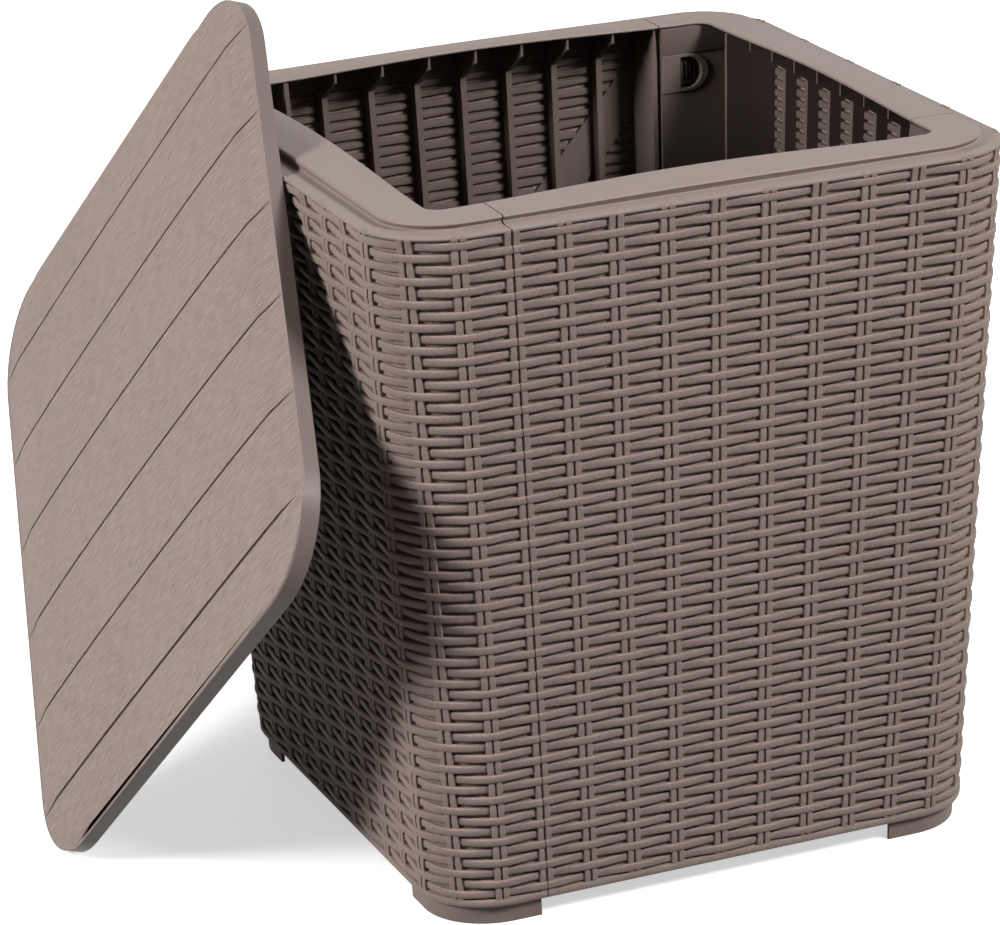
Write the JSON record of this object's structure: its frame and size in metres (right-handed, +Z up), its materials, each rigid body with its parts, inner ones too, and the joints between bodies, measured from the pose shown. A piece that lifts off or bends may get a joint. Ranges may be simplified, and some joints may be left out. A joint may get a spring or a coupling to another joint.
{
  "type": "deck box side table",
  "caption": "Tapered woven-look resin storage box with corner feet and a crowned rim, its plank lid leaning against one side.",
  "frame": {"origin": "centre of the box's footprint, on the ground", "axes": "+Z up, -Y out of the front woven face, -X out of the face that the lid leans on"},
  "size_m": [0.5596, 0.5429, 0.5213],
  "materials": {
    "weave": "fine speckled matte resin with a moulded woven pattern",
    "rim": "satin smooth resin",
    "inside": "smooth matte resin",
    "planks": "matte resin with fine grain along the planks",
    "lid_side": "smooth satin resin"
  },
  "bodies": {
    "box": {"wall_front": "weave", "wall_right": "weave", "wall_back": "weave", "wall_left": "weave", "corner_skin_front": "weave", "corner_skin_right": "weave", "corner_skin_back": "weave", "corner_skin_left": "weave", "corner_liner_front": "inside", "corner_liner_right": "inside", "corner_liner_back": "inside", "corner_liner_left": "inside", "rim_front": "rim", "rim_right": "rim", "rim_back": "rim", "rim_left": "rim", "ribs_front": "inside", "ribs_right": "inside", "ribs_back": "inside", "ribs_left": "inside", "foot_front": "weave", "foot_right": "weave", "foot_back": "weave", "foot_left": "weave", "lock_tongues_front": "inside", "lock_tongues_right": "inside", "lock_tongues_back": "inside", "lock_tongues_left": "inside", "floor_panel": "inside"},
    "lid": {"lid_deck": "planks", "lid_skirt": "lid_side", "lid_ribs": "lid_side"}
  },
  "joints": [
    {"name": "lid_lift", "type": "slide", "parent": "box", "child": "lid", "axis": [0, 0, 1], "range_m": [0, 0.5]}
  ]
}
